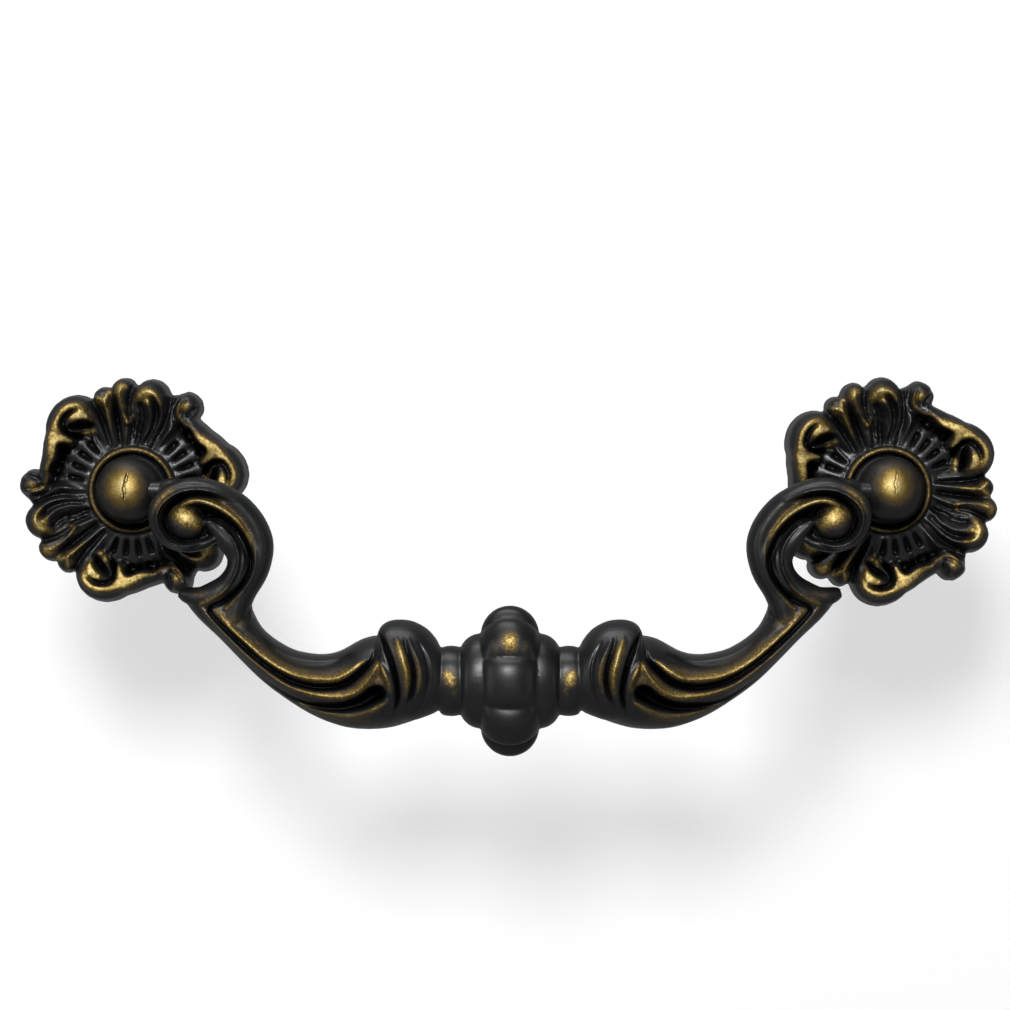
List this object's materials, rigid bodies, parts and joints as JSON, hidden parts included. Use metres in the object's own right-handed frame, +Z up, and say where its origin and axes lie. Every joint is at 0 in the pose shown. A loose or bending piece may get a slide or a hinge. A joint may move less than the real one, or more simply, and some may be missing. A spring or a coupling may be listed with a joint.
{
  "type": "drop pull",
  "caption": "Cast drop pull for a drawer: a scrolled leaf bail that swings between two domed posts on leaf rosettes.",
  "frame": {"origin": "midway between the two posts, at their height, on the drawer front", "axes": "+X to the right along the pull, +Y into the drawer front, +Z up; the bail hangs towards -Z at rest"},
  "size_m": [0.1661, 0.0392, 0.0633],
  "materials": {
    "antique_bronze": "satin dark patina, rubbed to brass on the ridges",
    "screw_steel": "zinc plated"
  },
  "bodies": {
    "mounting": {"left_post": "antique_bronze", "right_post": "antique_bronze", "left_rosette": "antique_bronze", "right_rosette": "antique_bronze", "left_screw": "screw_steel", "right_screw": "screw_steel"},
    "bail": {"bail": "antique_bronze"}
  },
  "joints": [
    {"name": "bail_swing", "type": "hinge", "parent": "mounting", "child": "bail", "pos_m": [0, -0.011, 0], "axis": [-1, 0, 0], "range_deg": [-10, 140]}
  ]
}
